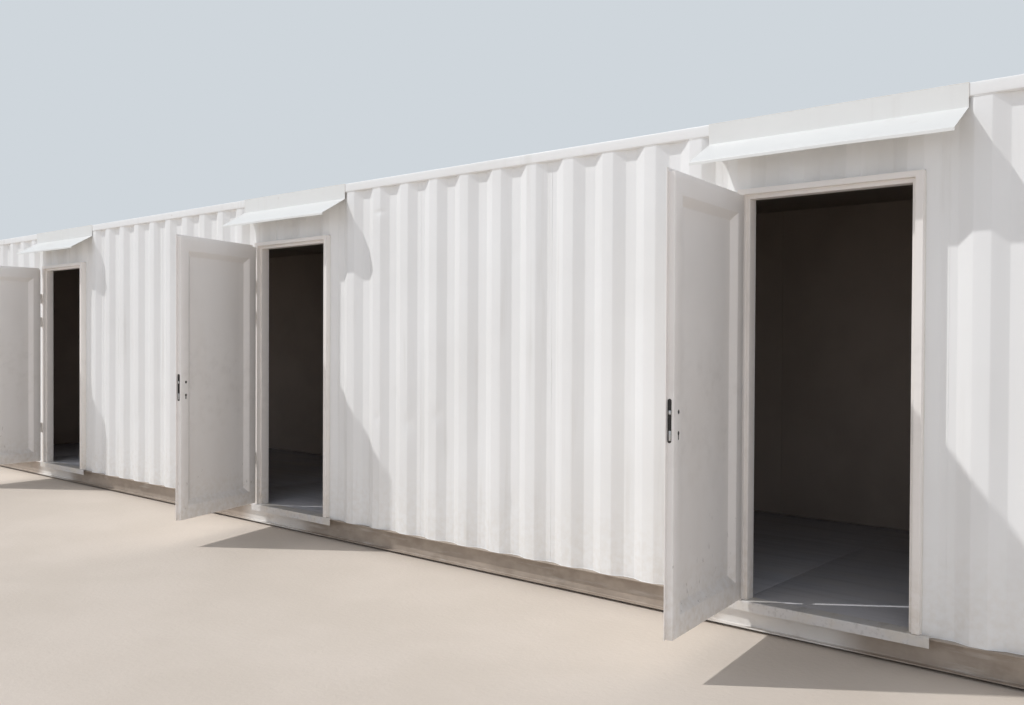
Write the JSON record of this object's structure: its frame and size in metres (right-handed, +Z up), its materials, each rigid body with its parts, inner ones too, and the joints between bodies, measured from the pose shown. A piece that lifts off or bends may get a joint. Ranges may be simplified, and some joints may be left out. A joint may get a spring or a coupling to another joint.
{
  "type": "shipping container cabin",
  "caption": "Long corrugated steel container made into a row of rooms, with hinged doors under folded canopies, a lining and a floor.",
  "frame": {"origin": "on the ground at the centre of the footprint, in the plane of the four bottom corner castings", "axes": "+X along the container to the right seen from the door side, +Y towards the back wall, +Z up"},
  "size_m": [12.192, 3.3295, 2.591],
  "materials": {
    "painted_steel": "white enamel, satin, rolled and folded sheet",
    "rail_steel": "beige grey primer, dusty",
    "door_paint": "off-white enamel, satin",
    "floor_board": "grey painted boards, dusty",
    "sill_steel": "grey paint, worn and dusty",
    "lining_board": "matt plaster board",
    "lock_steel": "brushed"
  },
  "bodies": {
    "cabin": {"corner_castings_bottom": "painted_steel", "corner_castings_top": "painted_steel", "corner_posts": "painted_steel", "bottom_rail_front": "rail_steel", "bottom_rail_back": "rail_steel", "end_sills": "rail_steel", "top_rail_front": "painted_steel", "top_rail_back": "painted_steel", "end_headers": "painted_steel", "cross_members": "rail_steel", "floor": "floor_board", "roof": "painted_steel", "front_wall_1": "painted_steel", "front_wall_2": "painted_steel", "front_wall_3": "painted_steel", "front_wall_4": "painted_steel", "door_header_1": "painted_steel", "door_header_2": "painted_steel", "door_header_3": "painted_steel", "back_wall": "painted_steel", "end_wall_left": "painted_steel", "end_wall_right": "painted_steel", "lining_front": "lining_board", "lining_headers": "lining_board", "lining_back": "lining_board", "lining_ends": "lining_board", "ceiling": "lining_board", "door_frame_1": "door_paint", "door_frame_2": "door_paint", "door_frame_3": "door_paint", "threshold_1": "sill_steel", "threshold_2": "sill_steel", "threshold_3": "sill_steel", "canopy_1": "painted_steel", "canopy_2": "painted_steel", "canopy_3": "painted_steel"},
    "leaf_1": {"door_leaf_1": "door_paint", "lock_1": "lock_steel"},
    "leaf_2": {"door_leaf_2": "door_paint", "lock_2": "lock_steel"},
    "leaf_3": {"door_leaf_3": "door_paint", "lock_3": "lock_steel"}
  },
  "joints": [
    {"name": "door_1_hinge", "type": "hinge", "parent": "cabin", "child": "leaf_1", "pos_m": [-4.42, -1.258, 1.17], "axis": [0, 0, 1], "range_deg": [-85, 85]},
    {"name": "door_2_hinge", "type": "hinge", "parent": "cabin", "child": "leaf_2", "pos_m": [-0.561, -1.258, 1.17], "axis": [0, 0, 1], "range_deg": [-97, 73]},
    {"name": "door_3_hinge", "type": "hinge", "parent": "cabin", "child": "leaf_3", "pos_m": [3.609, -1.258, 1.17], "axis": [0, 0, 1], "range_deg": [-86.5, 83.5]}
  ]
}
